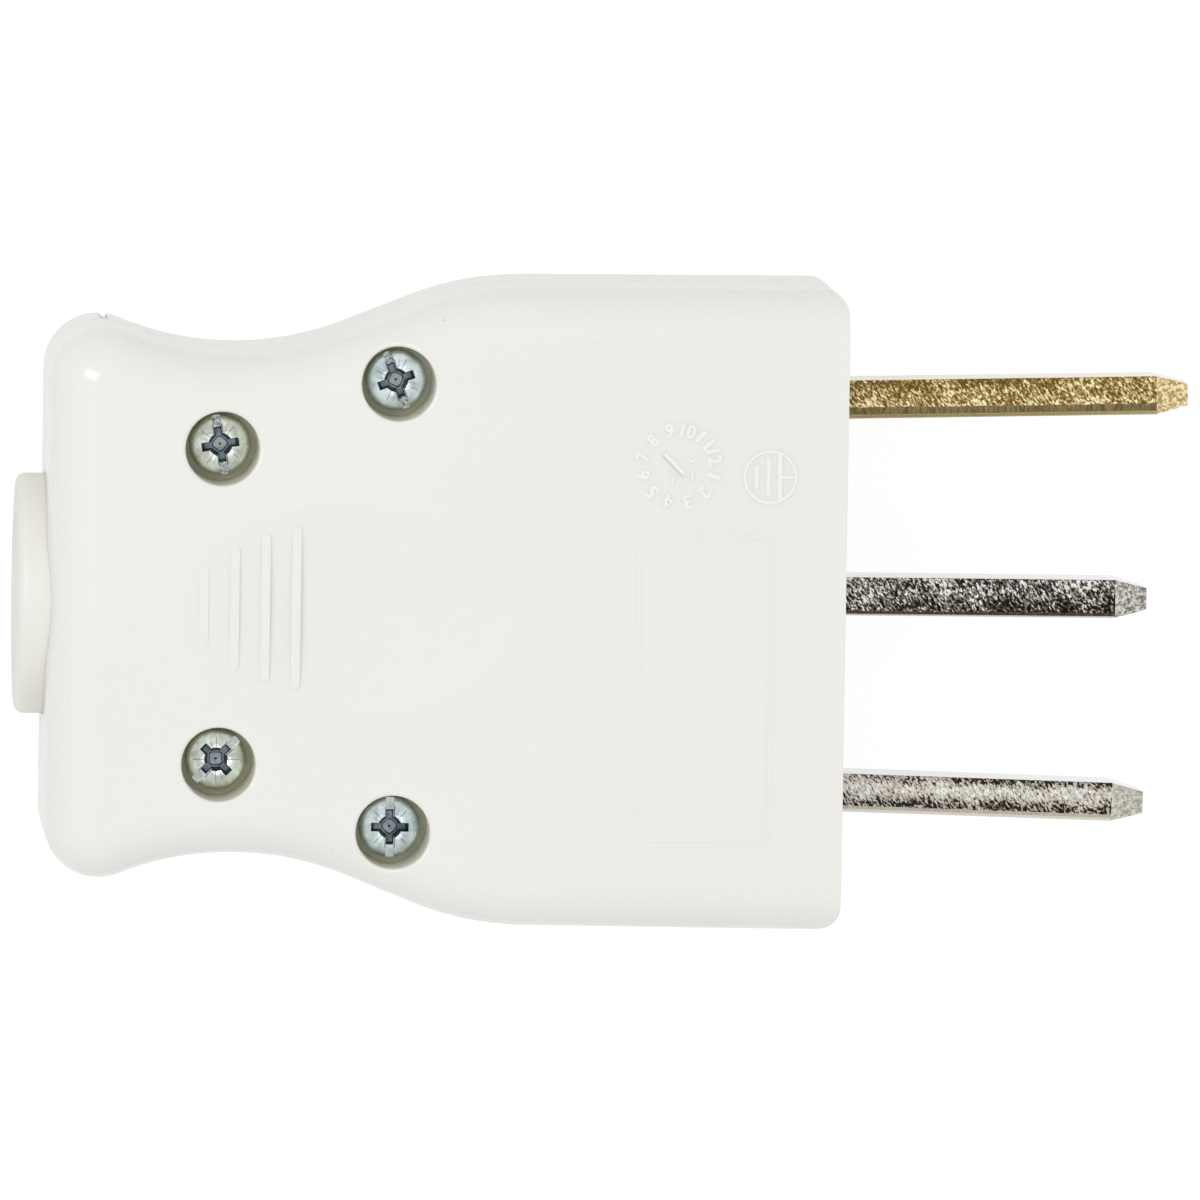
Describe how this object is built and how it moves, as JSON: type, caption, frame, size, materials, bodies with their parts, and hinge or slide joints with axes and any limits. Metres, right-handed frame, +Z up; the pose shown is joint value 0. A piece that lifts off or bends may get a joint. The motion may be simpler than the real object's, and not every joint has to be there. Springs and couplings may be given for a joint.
{
  "type": "cooker plug",
  "caption": "Rewirable cooker plug: two moulded shells, flat parallel line blades, a longer brass earth blade, terminals, cord clamp and cord collar.",
  "frame": {"origin": "centre of the bounding box, on the underside that the plug lies on", "axes": "+X along the blades, out of the front face; +Y towards the earth blade; +Z up, out of the cover"},
  "size_m": [0.1173, 0.064, 0.03],
  "materials": {
    "housing_plastic": "off-white thermoset moulding, semi-gloss",
    "collar_plastic": "slightly creamier moulded plastic",
    "clamp_plastic": "plain moulded plastic",
    "zinc_steel": "zinc-plated steel with a faint green-grey passivation",
    "earth_brass": "drawn brass, slightly tarnished and speckled",
    "nickel_plate": "nickel plate over brass, fine satin grain",
    "insert_brass": "turned brass"
  },
  "bodies": {
    "root": {"base_shell": "housing_plastic", "cover_shell": "housing_plastic", "cord_collar": "collar_plastic", "cord_clamp_bar": "clamp_plastic", "cord_clamp_screw_left": "zinc_steel", "cord_clamp_screw_right": "zinc_steel", "earth_pin": "earth_brass", "line_pin_centre": "nickel_plate", "line_pin_outer": "nickel_plate", "earth_clamp_plate": "zinc_steel", "centre_clamp_plate": "zinc_steel", "outer_clamp_plate": "zinc_steel", "earth_terminal_screw": "zinc_steel", "centre_terminal_screw": "zinc_steel", "outer_terminal_screw": "zinc_steel", "housing_screw_1": "zinc_steel", "housing_screw_2": "zinc_steel", "housing_screw_3": "zinc_steel", "housing_screw_4": "zinc_steel", "screw_insert_1": "insert_brass", "screw_insert_2": "insert_brass", "screw_insert_3": "insert_brass", "screw_insert_4": "insert_brass"}
  },
  "joints": []
}
